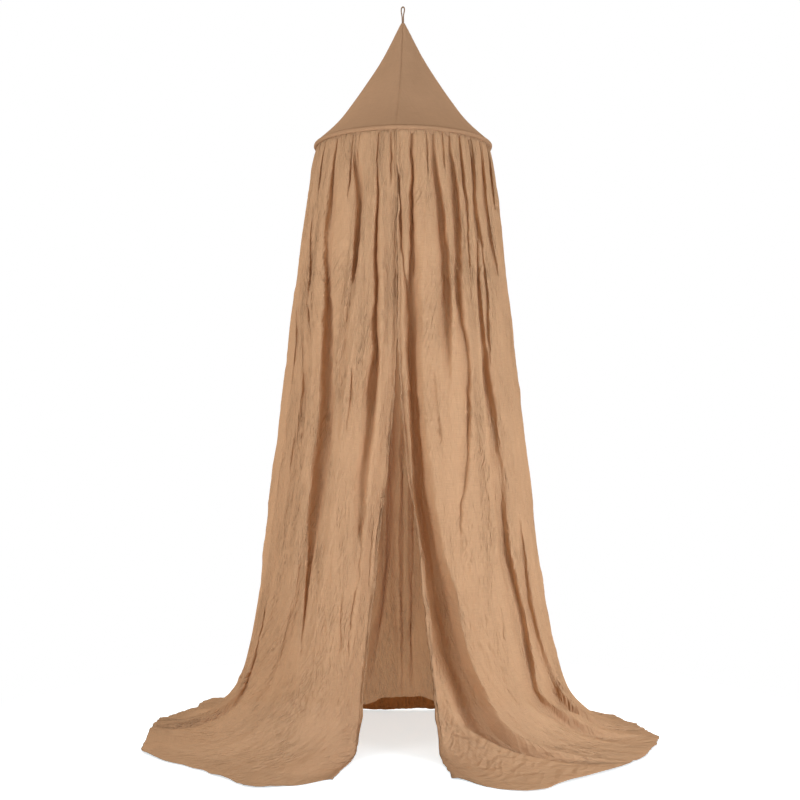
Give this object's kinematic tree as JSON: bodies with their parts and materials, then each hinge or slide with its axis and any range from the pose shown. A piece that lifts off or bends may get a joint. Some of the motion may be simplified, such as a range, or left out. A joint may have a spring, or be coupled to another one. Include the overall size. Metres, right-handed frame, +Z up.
{
  "type": "bed crown canopy",
  "caption": "Round hanging bed canopy with a cloth crown over a sewn-in hoop and a long gathered curtain that parts at the front and pools on the floor.",
  "frame": {"origin": "the seat inside the hanging loop's eye, where a hook bears, on the hoop's centre line", "axes": "+Z up, -Y the front where the curtain parts, +X to the right seen from the front"},
  "size_m": [1.4684, 1.2055, 2.0995],
  "materials": {
    "curtain_cloth": "crinkled plain weave",
    "crown_cloth": "taut plain weave",
    "strip_cloth": "folded plain weave",
    "hoop_plastic": "satin",
    "joiner_plastic": "matte"
  },
  "bodies": {
    "canopy": {"hanging_loop": "strip_cloth", "crown_gore_front_right": "crown_cloth", "crown_gore_back_right": "crown_cloth", "crown_gore_back_left": "crown_cloth", "crown_gore_front_left": "crown_cloth", "hoop_casing": "strip_cloth", "hoop": "hoop_plastic", "hoop_joiner": "joiner_plastic", "curtain_back_right": "curtain_cloth", "curtain_back_left": "curtain_cloth"},
    "left_leaf": {"curtain_left_front": "curtain_cloth"},
    "right_leaf": {"curtain_right_front": "curtain_cloth"}
  },
  "joints": [
    {"name": "left_leaf_swing", "type": "hinge", "parent": "canopy", "child": "left_leaf", "pos_m": [-0.18801, -0.17227, -0.4113], "axis": [-0.6756, 0.7373, 0], "range_deg": [0, 12]},
    {"name": "right_leaf_swing", "type": "hinge", "parent": "canopy", "child": "right_leaf", "pos_m": [0.17391, -0.1865, -0.4113], "axis": [-0.7314, -0.682, 0], "range_deg": [0, 12]}
  ]
}
